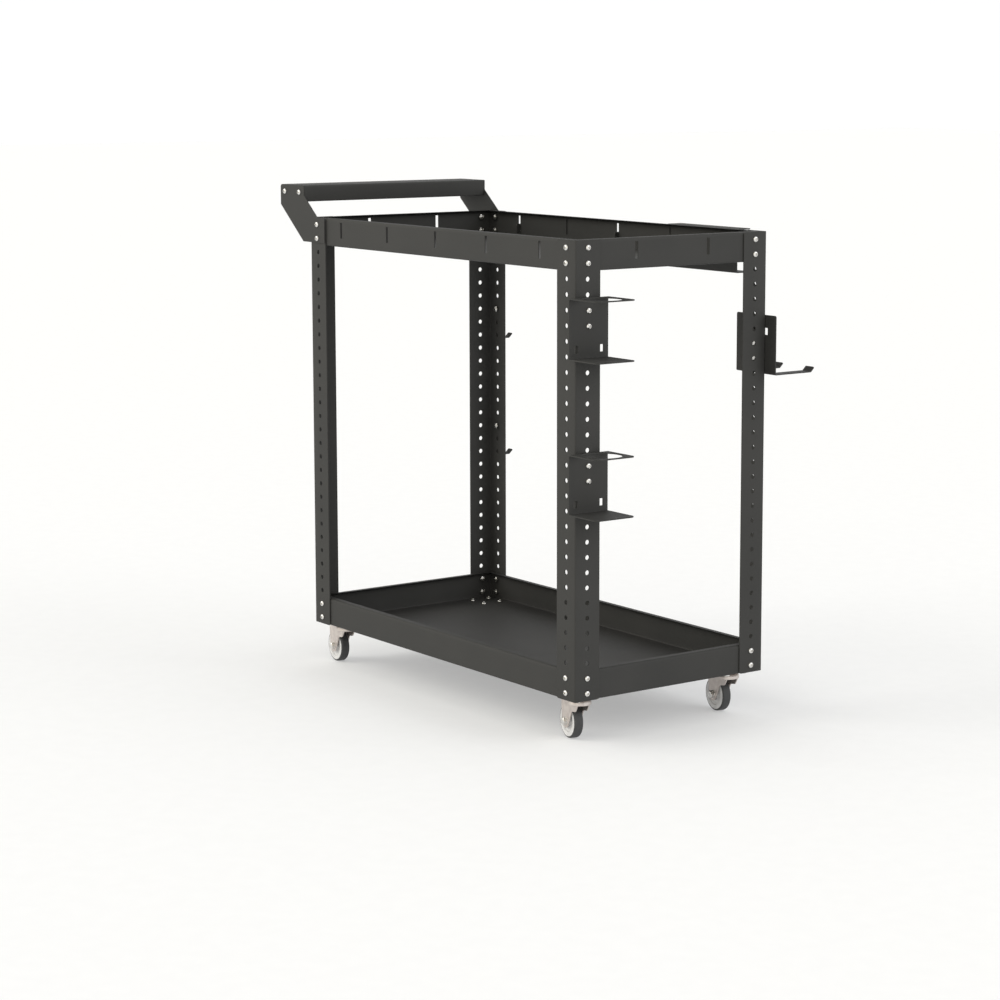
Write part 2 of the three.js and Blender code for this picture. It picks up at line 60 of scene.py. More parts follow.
# Frame, from the boxes of its nodes
POST_LOW, POST_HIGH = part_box("post_front_right")
REAR_LOW, REAR_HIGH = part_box("post_rear_left")
CENTRE = Vector(((REAR_LOW.x + POST_HIGH.x) / 2, (POST_LOW.y + REAR_HIGH.y) / 2, 0))
HALF_LENGTH = (POST_HIGH.x - REAR_LOW.x) / 2
HALF_WIDTH = (REAR_HIGH.y - POST_LOW.y) / 2
FLANGE = POST_HIGH.x - POST_LOW.x
POST_FOOT = POST_LOW.z
POST_TOP = POST_HIGH.z
POST_SHEET = 2 * MM
POST_BEND = 2.8 * MM
HOLE_ROWS = 30
HOLE_RADIUS = 4 * MM
HOLE_INSET = 25.2 * MM
HOLE_SIDES = 24

# Trays
TRAY_LOW, TRAY_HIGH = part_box("tray_top")
TRAY_HALF_X = (TRAY_HIGH.x - TRAY_LOW.x) / 2
TRAY_HALF_Y = (TRAY_HIGH.y - TRAY_LOW.y) / 2
TRAY_HEIGHT = TRAY_HIGH.z - TRAY_LOW.z
TRAY_SHEET = 1.5 * MM
TRAY_LIP = 12.7 * MM
TRAY_FOOT_BEND = 3 * MM
TRAY_RIM_BEND = 4.5 * MM
SLOT_PITCH = 6 * INCH
SLOT_WIDTH = 6 * MM
SLOT_FLOOR = 16 * MM
SLOT_TOP = 44.5 * MM

# Handle and holders
BRACKET_SHEET = 1.5 * MM
HOLDER_SHEET = 2 * MM
HANDLE_LIP = 8 * MM
CORNER_RADIUS = 8 * MM
END_TAB_MARGIN = 4 * MM
END_TAB_INSET = 0.1 * MM
BRACKET_FOOT_RUN = 26 * MM
BRACKET_NECK_DROP = 18.5 * MM
BRACKET_REAR_DROP = 37.5 * MM
CAN_HOLE_RADIUS = 33.7 * MM
FORK_FINGER = 21.3 * MM
TIP_RUN = 8 * MM
HOLDER_BEND = 2.6 * MM
PLATE_SLOT_WIDTH = 8 * MM
PLATE_SLOT_HEIGHT = 12 * MM
PLATE_SLOT_OFFSET = 26 * MM
CAN_SLOT_DROP = 17 * MM
FORK_SLOT_DROP = 28 * MM

# Tabs that hang the racks in the tray's wall slots
TAB_RISE = 13.2 * MM
TAB_HEIGHT = 17.8 * MM
TAB_TIP_INSET = 11.9 * MM
SHELF_SHOULDER = 27 * MM
SHELF_NOTCH = 24 * MM

# Fasteners
HEAD_RADIUS = 5.1 * MM
HEAD_HEIGHT = 3.2 * MM
HEAD_RIM = 0.4 * MM
SHANK_RADIUS = 3 * MM
SOCKET_RADIUS = 2.1 * MM
SOCKET_DEPTH = 2.4 * MM
NUT_RADIUS = 5 * MM
NUT_HEIGHT = 5.2 * MM
BAR_SCREW_GRIP = 3.4 * MM
BRACKET_SCREW_GRIP = 5.7 * MM
GAP = 0.3 * MM

# Casters
CASTER_BOLT = 0.75 * INCH
CASTER_PLATE_SHEET = 2.5 * MM
WHEEL_RADIUS = 30 * MM
WHEEL_WIDTH = 17 * MM
YOKE_SHEET = 2 * MM
YOKE_SKIRT = 8 * MM
CHEEK_FACE = WHEEL_WIDTH / 2 + 1.5 * MM
CHEEK_BOSS = 12 * MM
CROWN_RADIUS = 19.5 * MM

# Each corner's signs along X and Y, and the highest post hole that each hung-on part is screwed to
CORNERS = {"front_right": (1, -1), "rear_right": (-1, -1), "front_left": (1, 1), "rear_left": (-1, 1)}
CAN_ROWS = {"upper": 4, "lower": 14}
HOOK_ROWS = {"upper": 7, "lower": 16}
FORK_ROW = 7

# The camera, in the frame of the cart
CAMERA_PLACE = Vector((3.83443, -2.82134, 1.12386))
CAMERA_YAW = 0.928756
CAMERA_PITCH = 0.145747
CAMERA_ROLL = 0.00092
CAMERA_LENS = 95.83
CAMERA_SHIFT = (-0.06194, -0.04661)

# The studio's light
WORLD_HORIZON = 1.005
WORLD_ZENITH = 0.73
WARM_SIDE = (1.29, 1.24, 1.07)
# Painted fill light: an even glow of the floor paper that lifts the shade under the cart
FLOOR_PAINTED_FILL_GLOW = 0.33
FLOOR_SIZE = 30
LAMP_ANGLE = 40
# Name, direction towards the lamp, strength and colour
LAMPS = [
    ("front_right", (0.8, -0.6, 0.25), 0.2, (1, 1, 1)),
    ("rear_right", (-0.5, -0.85, 0.6), 1.08, (1, 0.98, 0.95)),
    ("front_left", (0.85, 0.5, 0.6), 0.72, (1, 1, 1)),
]


# ---------------------------------------------------------------- materials

def new_material(name, base, roughness, metallic=0.0):
    """A principled material, with its node tree, shader and object coordinates."""
    material = bpy.data.materials.new(name)
    material.use_nodes = True
    tree = material.node_tree
    shader = tree.nodes["Principled BSDF"]
    shader.inputs["Base Color"].default_value = (*base, 1)
    shader.inputs["Roughness"].default_value = roughness
    shader.inputs["Metallic"].default_value = metallic
    place = tree.nodes.new("ShaderNodeTexCoord")
    return material, tree, shader, place


def noise(tree, place, scale, detail):
    """A noise texture in object space."""
    texture = tree.nodes.new("ShaderNodeTexNoise")
    texture.inputs["Scale"].default_value = scale
    texture.inputs["Detail"].default_value = detail
    tree.links.new(place.outputs["Object"], texture.inputs["Vector"])
    return texture.outputs["Fac"]


def ranged(tree, value, low, high, start=0.35, end=0.65):
    """Maps `start` to `end`, which are set for the middle of a noise, to `low` to `high`."""
    node = tree.nodes.new("ShaderNodeMapRange")
    node.inputs["From Min"].default_value = start
    node.inputs["From Max"].default_value = end
    node.inputs["To Min"].default_value = low
    node.inputs["To Max"].default_value = high
    tree.links.new(value, node.inputs["Value"])
    return node.outputs["Result"]


def mixed(tree, factor, first, second):
    """A colour between two, by a factor from 0 to 1."""
    node = tree.nodes.new("ShaderNodeMix")
    node.data_type = "RGBA"
    node.inputs["A"].default_value = (*first, 1)
    node.inputs["B"].default_value = (*second, 1)
    tree.links.new(factor, node.inputs["Factor"])
    return node.outputs["Result"]


def bumped(tree, shader, height, distance):
    """Adds a bump to the shader, on top of one that is there already."""
    node = tree.nodes.new("ShaderNodeBump")
    node.inputs["Strength"].default_value = 1.0
    node.inputs["Distance"].default_value = distance
    tree.links.new(height, node.inputs["Height"])
    if shader.inputs["Normal"].links:
        tree.links.new(shader.inputs["Normal"].links[0].from_socket, node.inputs["Normal"])
    tree.links.new(node.outputs["Normal"], shader.inputs["Normal"])


def powder_coat():
    """Satin charcoal powder coat: a fine orange peel, with faint clouds in colour and gloss."""
    material, tree, shader, place = new_material("powder_coat", (0.0355, 0.0355, 0.034), 0.6)
    shader.inputs["Specular IOR Level"].default_value = 0.24
    cloud = noise(tree, place, 9, 4)
    grain = noise(tree, place, 1400, 2)
    peel = noise(tree, place, 420, 2)
    tone = ranged(tree, cloud, 0.0, 1.0)
    colour = mixed(tree, tone, (0.0327, 0.0327, 0.0314), (0.0385, 0.0381, 0.0364))
    tree.links.new(colour, shader.inputs["Base Color"])
    tree.links.new(ranged(tree, cloud, 0.58, 0.63), shader.inputs["Roughness"])
    bumped(tree, shader, peel, 0.00003)
    bumped(tree, shader, grain, 0.000012)
    return material


def zinc_plate():
    """Bright zinc plating over stamped steel, slightly warm and cloudy."""
    material, tree, shader, place = new_material("zinc_plate", (0.6, 0.545, 0.51), 0.48, 1.0)
    cloud = noise(tree, place, 120, 5)
    fine = noise(tree, place, 1800, 2)
    colour = mixed(tree, ranged(tree, cloud, 0.0, 1.0), (0.55, 0.497, 0.468), (0.66, 0.61, 0.58))
    tree.links.new(colour, shader.inputs["Base Color"])
    tree.links.new(ranged(tree, cloud, 0.42, 0.54), shader.inputs["Roughness"])
    bumped(tree, shader, fine, 0.00001)
    return material


def bright_steel():
    """Polished stainless fasteners with a faint turned grain."""
    material, tree, shader, place = new_material("bright_steel", (0.72, 0.71, 0.69), 0.2, 1.0)
    cloud = noise(tree, place, 300, 3)
    fine = noise(tree, place, 2600, 2)
    colour = mixed(tree, ranged(tree, cloud, 0.0, 1.0), (0.66, 0.65, 0.63), (0.78, 0.77, 0.75))
    tree.links.new(colour, shader.inputs["Base Color"])
    tree.links.new(ranged(tree, fine, 0.16, 0.26), shader.inputs["Roughness"])
    return material


def wheel_plastic():
    """Light grey moulded polyamide of the wheel cores."""
    material, tree, shader, place = new_material("wheel_plastic", (0.62, 0.62, 0.63), 0.42)
    cloud = noise(tree, place, 90, 4)
    fine = noise(tree, place, 1500, 3)
    colour = mixed(tree, ranged(tree, cloud, 0.0, 1.0), (0.58, 0.58, 0.585), (0.66, 0.66, 0.665))
    tree.links.new(colour, shader.inputs["Base Color"])
    tree.links.new(ranged(tree, fine, 0.38, 0.5), shader.inputs["Roughness"])
    bumped(tree, shader, fine, 0.00002)
    return material


def tread_rubber():
    """Dark grey rubber tread with a matt, slightly scuffed skin."""
    material, tree, shader, place = new_material("tread_rubber", (0.036, 0.037, 0.039), 0.66)
    cloud = noise(tree, place, 160, 5)
    fine = noise(tree, place, 2200, 4)
    colour = mixed(tree, ranged(tree, cloud, 0.0, 1.0), (0.03, 0.031, 0.033), (0.045, 0.046, 0.048))
    tree.links.new(colour, shader.inputs["Base Color"])
    tree.links.new(ranged(tree, cloud, 0.55, 0.7), shader.inputs["Roughness"])
    bumped(tree, shader, fine, 0.00004)
    return material


def floor_paper_painted_glow():
    """Seamless white studio paper, with an even painted glow that stands in for fill light and lifts the
    cart's shadow on it.
    """
    material, tree, shader, place = new_material("floor_paper_painted_glow", (0.58, 0.585, 0.59), 0.9)
    grain = noise(tree, place, 30, 3)
    colour = mixed(tree, ranged(tree, grain, 0.0, 1.0), (0.575, 0.58, 0.585), (0.585, 0.59, 0.595))
    tree.links.new(colour, shader.inputs["Base Color"])
    shader.inputs["Specular IOR Level"].default_value = 0.1
    # Painted fill light: the paper glows though it is no lamp, so the shade under the cart is lighter.
    shader.inputs["Emission Color"].default_value = (1, 1, 1, 1)
    shader.inputs["Emission Strength"].default_value = FLOOR_PAINTED_FILL_GLOW
    return material


PAINT = powder_coat()
ZINC = zinc_plate()
STEEL = bright_steel()
PLASTIC = wheel_plastic()
RUBBER = tread_rubber()


# ---------------------------------------------------------------- outlines

def rectangle(u0, u1, v0, v1):
    """A closed outline between two values of each coordinate."""
    return [(u0, v0), (u1, v0), (u1, v1), (u0, v1)]


def circle(u, v, radius, sides=HOLE_SIDES):
    """A closed round outline."""
    turns = [2 * math.pi * (i + 0.5) / sides for i in range(sides)]
    return [(u + radius * math.cos(a), v + radius * math.sin(a)) for a in turns]


def rounded(corners, radii, steps=5):
    """A closed outline with its corners rounded. A radius of 0 keeps a corner sharp, and a corner
    that hardly turns is kept too."""
    points = []
    for i, (corner, radius) in enumerate(zip(corners, radii)):
        here = Vector(corner)
        before = (Vector(corners[i - 1]) - here).normalized()
        after = (Vector(corners[(i + 1) % len(corners)]) - here).normalized()
        half = before.angle(after) / 2
        if radius == 0 or half > math.radians(89):
            points.append(tuple(here))
            continue
        centre = here + (before + after).normalized() * (radius / math.sin(half))
        start = here + before * (radius / math.tan(half)) - centre
        end = here + after * (radius / math.tan(half)) - centre
        sweep = start.angle_signed(end)
        for k in range(steps + 1):
            spoke = start.copy()
            spoke.rotate(Matrix.Rotation(-sweep * k / steps, 2))
            points.append(tuple(centre + spoke))
    return points


def inside(point, loop):
    """Whether a point is inside a closed outline."""
    x, y = point
    found = False
    for (x0, y0), (x1, y1) in zip(loop, loop[1:] + loop[:1]):
        if (y0 > y) != (y1 > y) and x < x0 + (y - y0) * (x1 - x0) / (y1 - y0):
            found = not found
    return found


def triangulated(outline, holes, cuts):
    """Triangles that fill an outline round its holes, split along lines of constant first
    coordinate at each of `cuts`."""
    points, edges = [], []
    for loop in [outline, *holes]:
        first = len(points)
        points += loop
        edges += [(first + i, first + (i + 1) % len(loop)) for i in range(len(loop))]
    low = min(v for _, v in outline)
    high = max(v for _, v in outline)
    for cut in cuts:
        points += [(cut, low), (cut, high)]
        edges.append((len(points) - 2, len(points) - 1))
    vectors = [Vector(p) for p in points]
    places, _, faces, *_ = delaunay_2d_cdt(vectors, edges, [], 0, 1e-8)
    boxes = [(min(u for u, _ in h), max(u for u, _ in h), min(v for _, v in h),
              max(v for _, v in h), h) for h in holes]
    kept = []
    for face in faces:
        middle = sum((places[i] for i in face), Vector((0, 0))) / 3
        if not inside(middle, outline):
            continue
        near = [h for a, b, c, d, h in boxes if a < middle.x < b and c < middle.y < d]
        if any(inside(middle, h) for h in near):
            continue
        kept.append(tuple(face))
    return [tuple(p) for p in places], kept


class BendPath:
    """The section of a folded sheet: straight runs, and a round bend at each inner corner.
    The thickness lies to the left of the direction of travel for side 1, to the right for -1."""

    def __init__(self, corners, radii, steps=5, side=1):
        corners = [Vector(c) for c in corners]
        radii = [0, *radii, 0]
        self.side = side
        self.lengths, self.places, self.normals, self.starts = [], [], [], []
        travelled = 0.0
        position = corners[0]
        for i in range(len(corners) - 1):
            heading = (corners[i + 1] - corners[i]).normalized()
            left = Vector((-heading.y, heading.x))
            turn, trim = 0.0, 0.0
            if i + 2 < len(corners):
                following = (corners[i + 2] - corners[i + 1]).normalized()
                turn = math.atan2(heading.cross(following), heading.dot(following))
                trim = radii[i + 1] * math.tan(abs(turn) / 2)
            self.starts.append(travelled - (position - corners[i]).length)
            self._add(travelled, position, left)
            finish = corners[i + 1] - heading * trim
            travelled += (finish - position).length
            position = finish
            self._add(travelled, position, left)
            if turn:
                position = self._bend(travelled, position, left, radii[i + 1], turn, steps)
                travelled += abs(turn) * radii[i + 1]
        self.length = travelled

    def _bend(self, travelled, position, left, radius, turn, steps):
        """Adds the inner points of a round bend, and gives the place where it ends."""
        spoke = radius * math.copysign(1, turn)
        centre = position + left * spoke
        for k in range(1, steps + 1):
            normal = left.copy()
            normal.rotate(Matrix.Rotation(turn * k / steps, 2))
            position = centre - normal * spoke
            if k < steps:
                self._add(travelled + abs(turn) * radius * k / steps, position, normal)
        return position

    def _add(self, length, place, normal):
        self.lengths.append(length)
        self.places.append(place.copy())
        self.normals.append(normal * self.side)

    def at(self, length, depth):
        """The point of the section at a length along it and a depth into the sheet."""
        i = min(max(bisect_right(self.lengths, length) - 1, 0), len(self.lengths) - 2)
        span = self.lengths[i + 1] - self.lengths[i]
        share = (length - self.lengths[i]) / span if span > 1e-12 else 0.0
        share = min(max(share, 0.0), 1.0)
        place = self.places[i].lerp(self.places[i + 1], share)
        return place + self.normals[i].lerp(self.normals[i + 1], share).normalized() * depth

    def on_run(self, run, distance):
        """The length along the path at a distance from the sharp corner where a run starts."""
        return self.starts[run] + distance

    def cuts(self):
        """The lengths at which the flat pattern is split, so that it can bend there."""
        return self.lengths[1:-1]


# ---------------------------------------------------------------- meshes

def add_sheet(mesh, faces, outer, inner, is_joined=None):
    """Adds a sheet's two faces and its rim. No rim is made on an edge that `is_joined` picks."""
    uses = {}
    for face in faces:
        mesh.faces.new([outer[i] for i in face])
        mesh.faces.new([inner[i] for i in reversed(face)])
        for a, b in zip(face, face[1:] + face[:1]):
            uses.setdefault((min(a, b), max(a, b)), []).append((a, b))
    for edges in uses.values():
        a, b = edges[0]
        if len(edges) == 1 and not (is_joined and is_joined(a, b)):
            mesh.faces.new([outer[b], outer[a], inner[a], inner[b]])


def add_folded(mesh, outline, holes, path, thickness, place, joined=None):
    """Adds a folded sheet to a bmesh. `place` maps a section point and a distance across to the
    cart's frame. `joined` says whether two points of the pattern both lie where it meets another
    sheet, so that no rim is made there."""
    points, faces = triangulated(outline, holes, path.cuts())
    outer = [mesh.verts.new(place(path.at(s, 0.0), t)) for s, t in points]
    inner = [mesh.verts.new(place(path.at(s, thickness), t)) for s, t in points]
    add_sheet(mesh, faces, outer, inner, joined and (lambda a, b: joined(points[a], points[b])))


def add_plate(mesh, outline, holes, place, thickness):
    """Adds a flat sheet. `place` maps (u, v, depth) to the cart's frame."""
    points, faces = triangulated(outline, holes, [])
    outer = [mesh.verts.new(place(u, v, 0.0)) for u, v in points]
    inner = [mesh.verts.new(place(u, v, thickness)) for u, v in points]
    add_sheet(mesh, faces, outer, inner)


def add_turned(mesh, rings, sides, transform):
    """Adds a turned solid about +Z from (radius, level, is_hexagon) rings, closed at both ends."""
    loops = []
    for radius, level, hexagonal in rings:
        loop = []
        for i in range(sides):
            angle = 2 * math.pi * i / sides
            reach = radius
            if hexagonal:
                reach = radius / math.cos(angle % (math.pi / 3) - math.pi / 6)
            point = Vector((reach * math.cos(angle), reach * math.sin(angle), level))
            loop.append(mesh.verts.new(transform @ point))
        loops.append(loop)
    for lower, upper in zip(loops, loops[1:]):
        for i in range(sides):
            j = (i + 1) % sides
            mesh.faces.new([lower[i], lower[j], upper[j], upper[i]])
    mesh.faces.new(list(reversed(loops[0])))
    mesh.faces.new(loops[-1])


def add_ring(mesh, section, sides, transform):
    """Adds a ring about +Z from a closed section of (radius, level) points."""
    loops = []
    for i in range(sides):
        angle = 2 * math.pi * i / sides
        spoke = Vector((math.cos(angle), math.sin(angle), 0))
        loops.append([mesh.verts.new(transform @ (spoke * r + Vector((0, 0, z)))) for r, z in section])
    for i in range(sides):
        here, after = loops[i], loops[(i + 1) % sides]
        for k in range(len(section)):
            above = (k + 1) % len(section)
            mesh.faces.new([here[k], after[k], after[above], here[above]])


def finished(name, mesh, material, body, nodes=(), bevel=0.3 * MM, sharp=35):
    """Turns a bmesh into a piece that rides on a body and stands for CAD nodes."""
    bmesh.ops.remove_doubles(mesh, verts=mesh.verts, dist=1e-6)
    bmesh.ops.dissolve_degenerate(mesh, edges=mesh.edges, dist=1e-7)
    bmesh.ops.recalc_face_normals(mesh, faces=mesh.faces)
    data = bpy.data.meshes.new(name)
    mesh.to_mesh(data)
    mesh.free()
    data.shade_smooth()
    data.set_sharp_from_angle(angle=math.radians(sharp))
    data.materials.append(material)
    piece = bpy.data.objects.new(name, data)
    bpy.context.scene.collection.objects.link(piece)
    if bevel:
        modifier = piece.modifiers.new("edge", "BEVEL")
        modifier.width = bevel
        modifier.segments = 2
        modifier.limit_method = "ANGLE"
        modifier.angle_limit = math.radians(50)
        modifier.use_clamp_overlap = False
        modifier.harden_normals = True
    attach(piece, body)
    if nodes:
        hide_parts(*nodes)
    return piece


def hole_level(row):
    """The height of a row of post holes, counted from the top."""
    return POST_TOP - (row + 0.5) * INCH


# ---------------------------------------------------------------- sheet-metal parts

def build_post(corner, end_sign, side_sign):
    """A perforated angle post, folded from one strip."""
    path = BendPath([(FLANGE, 0), (0, 0), (0, FLANGE)], [POST_BEND], side=-1)
    outline = rounded(rectangle(0, path.length, POST_FOOT, POST_TOP), [4 * MM] * 4)
    side_column = path.on_run(0, FLANGE - HOLE_INSET)
    end_column = path.on_run(1, HOLE_INSET)
    holes = []
    for row in range(HOLE_ROWS):
        holes.append(circle(side_column, hole_level(row), HOLE_RADIUS))
        holes.append(circle(end_column, hole_level(row), HOLE_RADIUS))

    def place(section, level):
        x = CENTRE.x + end_sign * (HALF_LENGTH - section.x)
        y = CENTRE.y + side_sign * (HALF_WIDTH - section.y)
        return Vector((x, y, level))

    mesh = bmesh.new()
    add_folded(mesh, outline, holes, path, POST_SHEET, place)
    finished(f"angle_post_{corner}", mesh, PAINT, "frame", [f"post_{corner}"])


def tray_path(reach):
    """From the floor's middle to the foot bend, up the wall and in along the lip."""
    corners = [(reach, 0), (0, 0), (0, TRAY_HEIGHT), (TRAY_LIP, TRAY_HEIGHT)]
    return BendPath(corners, [TRAY_FOOT_BEND, TRAY_RIM_BEND], side=-1)


def wall_holes(path, slots, screw_offset):
    """The slots and screw holes of one tray wall, on its flat pattern."""
    holes = []
    for step in slots:
        t = step * SLOT_PITCH
        holes.append(rectangle(path.on_run(1, SLOT_FLOOR), path.on_run(1, SLOT_TOP),
                               t - SLOT_WIDTH / 2, t + SLOT_WIDTH / 2))
    for t in (-screw_offset, screw_offset):
        for level in (0.5 * INCH, 1.5 * INCH):
            holes.append(circle(path.on_run(1, level), t, HOLE_RADIUS))
    return holes


def build_tray(node, has_slots):
    """A tray folded from one sheet: a floor, four walls and mitred inward lips."""
    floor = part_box(node)[0].z
    mesh = bmesh.new()
    path = tray_path(TRAY_HALF_Y)
    walls = [(TRAY_HALF_X, TRAY_HALF_Y, HALF_LENGTH, [-2, -1, 0, 1, 2], False),
             (TRAY_HALF_Y, TRAY_HALF_X, HALF_WIDTH, [-0.5, 0.5], True)]
    for half, across, frame_half, slots, is_end in walls:
        outline = rectangle(0, path.length, -half, half)
        holes = wall_holes(path, slots if has_slots else [], frame_half - HOLE_INSET)

        def joined(a, b, half=half):
            at_mitre = all(abs(abs(p[1]) - half) < 1e-7 for p in (a, b))
            at_middle = all(abs(p[0]) < 1e-7 for p in (a, b))
            return at_mitre or at_middle

        for sign in (-1, 1):
            def place(section, t, sign=sign, half=half, across=across, is_end=is_end):
                if abs(abs(t) - half) < 1e-7:
                    t = math.copysign(half - section.x, t)
                wall = sign * (across - section.x)
                x, y = (wall, t) if is_end else (t, wall)
                return Vector((CENTRE.x + x, CENTRE.y + y, floor + section.y))

            add_folded(mesh, outline, holes, path, TRAY_SHEET, place, joined)
    finished(f"folded_{node}", mesh, PAINT, "frame", [node])


def build_handle_bar():
    """The grip: an inverted channel with return lips, and a tab folded down at each end."""
    low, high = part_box("handle_bar")
    corners = [(low.x + HANDLE_LIP, low.z), (low.x, low.z), (low.x, high.z), (high.x, high.z),
               (high.x, low.z), (high.x - HANDLE_LIP, low.z)]
    path = BendPath(list(reversed(corners)), [2.2 * MM, 3.2 * MM, 3.2 * MM, 2.2 * MM])
    mesh = bmesh.new()
    add_folded(mesh, rectangle(0, path.length, low.y, high.y), [], path, BRACKET_SHEET,
               lambda section, t: Vector((section.x, t, section.y)))
    tab = rectangle(low.x + END_TAB_MARGIN, high.x - END_TAB_MARGIN,
                    low.z + END_TAB_MARGIN, high.z - BRACKET_SHEET)
    tab = rounded(tab, [3 * MM, 3 * MM, 0, 0])
    holes = [circle(x, handle_screw_level(), HOLE_RADIUS) for x in handle_screw_columns()]
    for y, sign in ((low.y + END_TAB_INSET, 1), (high.y - END_TAB_INSET, -1)):
        add_plate(mesh, tab, holes, lambda u, v, d, y=y, s=sign: Vector((u, y + s * d, v)), BRACKET_SHEET)
    finished("push_bar", mesh, PAINT, "frame", ["handle_bar"])


def handle_screw_columns():
    """Where the two screws at each end of the bar are, along X."""
    low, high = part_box("handle_bar")
    middle = (low.x + high.x) / 2
    return [middle - INCH, middle + INCH]


def handle_screw_level():
    """The height of the screws at the ends of the bar."""
    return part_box("handle_bar")[1].z - INCH / 2


def build_handle_bracket(side, sign):
    """A flat bracket outside the post and the bar's end."""
    low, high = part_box(f"handle_bracket_{side}")
    bar_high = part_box("handle_bar")[1]
    rear_face = CENTRE.x - HALF_LENGTH
    front = bar_high.x + GAP
    corners = [
        (low.x, high.z - BRACKET_REAR_DROP), (front - 3 * MM, low.z), (high.x, low.z),
        (high.x, POST_TOP), (rear_face + BRACKET_FOOT_RUN, POST_TOP),
        (front, high.z - BRACKET_NECK_DROP), (front, high.z), (low.x, high.z),
    ]
    outline = rounded(corners, [3 * MM, 3 * MM, 2 * MM, 2 * MM, 2 * MM, 3 * MM, 1.5 * MM, 5 * MM])
    holes = [circle(x, handle_screw_level(), HOLE_RADIUS) for x in handle_screw_columns()]
    holes += [circle(rear_face + HOLE_INSET, hole_level(row), HOLE_RADIUS) for row in (0, 1)]
    outer = low.y if sign < 0 else high.y
    mesh = bmesh.new()
    add_plate(mesh, outline, holes, lambda u, v, d: Vector((u, outer - sign * d, v)), BRACKET_SHEET)
    finished(f"push_bracket_{side}", mesh, PAINT, "frame", [f"handle_bracket_{side}"])


def plate_slots(level, middle):
    """The two small slots of a back plate, on its flat pattern, to both sides of its middle."""
    slots = []
    for t in (middle - PLATE_SLOT_OFFSET, middle + PLATE_SLOT_OFFSET):
        corners = rectangle(level - PLATE_SLOT_HEIGHT / 2, level + PLATE_SLOT_HEIGHT / 2,
                            t - PLATE_SLOT_WIDTH / 2, t + PLATE_SLOT_WIDTH / 2)
        slots.append(rounded(corners, [1 * MM] * 4, 3))
    return slots


def build_can_holder(place_name, row):
    """A spray-can holder folded from one strip: shelf, back plate and ring."""
    low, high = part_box(f"can_holder_{place_name}")
    path = BendPath([(high.x, high.z), (low.x, high.z), (low.x, low.z), (high.x, low.z)],
                    [HOLDER_BEND, HOLDER_BEND])
    middle = (low.y + high.y) / 2
    outline = rounded(rectangle(0, path.length, low.y, high.y), [CORNER_RADIUS] * 4, 8)
    ring = path.on_run(0, (high.x - low.x) / 2)
    holes = [circle(ring, middle, CAN_HOLE_RADIUS, 64)]
    for step in (0, 1):
        holes.append(circle(path.on_run(1, high.z - hole_level(row + step)), middle, HOLE_RADIUS))
    holes += plate_slots(path.on_run(1, high.z - low.z - CAN_SLOT_DROP), middle)
    mesh = bmesh.new()
    add_folded(mesh, outline, holes, path, HOLDER_SHEET,
               lambda section, t: Vector((section.x, t, section.y)))
    finished(f"can_rack_{place_name}", mesh, PAINT, "frame", [f"can_holder_{place_name}"])


def finger_path(face, reach, low, top):
    """The section of a hook: down the back plate, out along the finger and up its tip."""
    corners = [(face, top), (face, low), (face + reach, low), (face + reach + TIP_RUN, low + TIP_RUN)]
    return BendPath(corners, [HOLDER_BEND, 2.5 * MM], 4)


def build_fork_hook():
    """The wide hook: a back plate with two fingers."""
    low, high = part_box("fork_hook")
    reach = high.y - low.y - TIP_RUN
    path = finger_path(low.y, reach, low.z, high.z)
    start = path.on_run(1, HOLDER_BEND + 1.5 * MM)
    corners = [(0, low.x), (path.length, low.x), (path.length, low.x + FORK_FINGER),
               (start, low.x + FORK_FINGER), (start, high.x - FORK_FINGER),
               (path.length, high.x - FORK_FINGER), (path.length, high.x), (0, high.x)]
    outline = rounded(corners, [3 * MM, 2 * MM, 2 * MM, 2 * MM, 2 * MM, 2 * MM, 2 * MM, 3 * MM])
    middle = (low.x + high.x) / 2
    rows = (FORK_ROW, FORK_ROW + 1)
    holes = [circle(high.z - hole_level(row), middle, HOLE_RADIUS) for row in rows]
    holes += plate_slots(FORK_SLOT_DROP, middle)
    mesh = bmesh.new()
    add_folded(mesh, outline, holes, path, HOLDER_SHEET,
               lambda section, t: Vector((t, section.x, section.y)))
    finished("fork_rack", mesh, PAINT, "frame", ["fork_hook"])


def build_single_hook(place_name, row):
    """The narrow hook: a strip with one finger."""
    low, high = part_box(f"single_hook_{place_name}")
    reach = high.y - low.y - TIP_RUN
    path = finger_path(low.y, reach, low.z, high.z)
    outline = rounded(rectangle(0, path.length, low.x, high.x), [3 * MM, 1.5 * MM, 1.5 * MM, 3 * MM])
    holes = [circle(high.z - hole_level(row), (low.x + high.x) / 2, HOLE_RADIUS)]
    mesh = bmesh.new()
    add_folded(mesh, outline, holes, path, HOLDER_SHEET,
               lambda section, t: Vector((t, section.x, section.y)))
    finished(f"j_hook_{place_name}", mesh, PAINT, "frame", [f"single_hook_{place_name}"])


def add_wall_tab(mesh, x0, face):
    """A hook tab through a slot of the tray's left wall, hanging behind its lower edge."""
    inner = CENTRE.y + TRAY_HALF_Y - TRAY_SHEET
    tip = CENTRE.y + HALF_WIDTH - TAB_TIP_INSET
    neck = TRAY_LOW.z + SLOT_FLOOR + GAP
    top = TRAY_LOW.z + SLOT_FLOOR + TAB_RISE
    low = top - TAB_HEIGHT
    corners = [(face, neck), (face, top), (tip, top), (tip, low), (inner - GAP, low),
               (inner - GAP, neck)]
    outline = rounded(corners, [0, 0, 3 * MM, 2 * MM, 2 * MM, 0.5 * MM])
    add_plate(mesh, outline, [], lambda u, v, d: Vector((x0 + d, u, v)), HOLDER_SHEET)


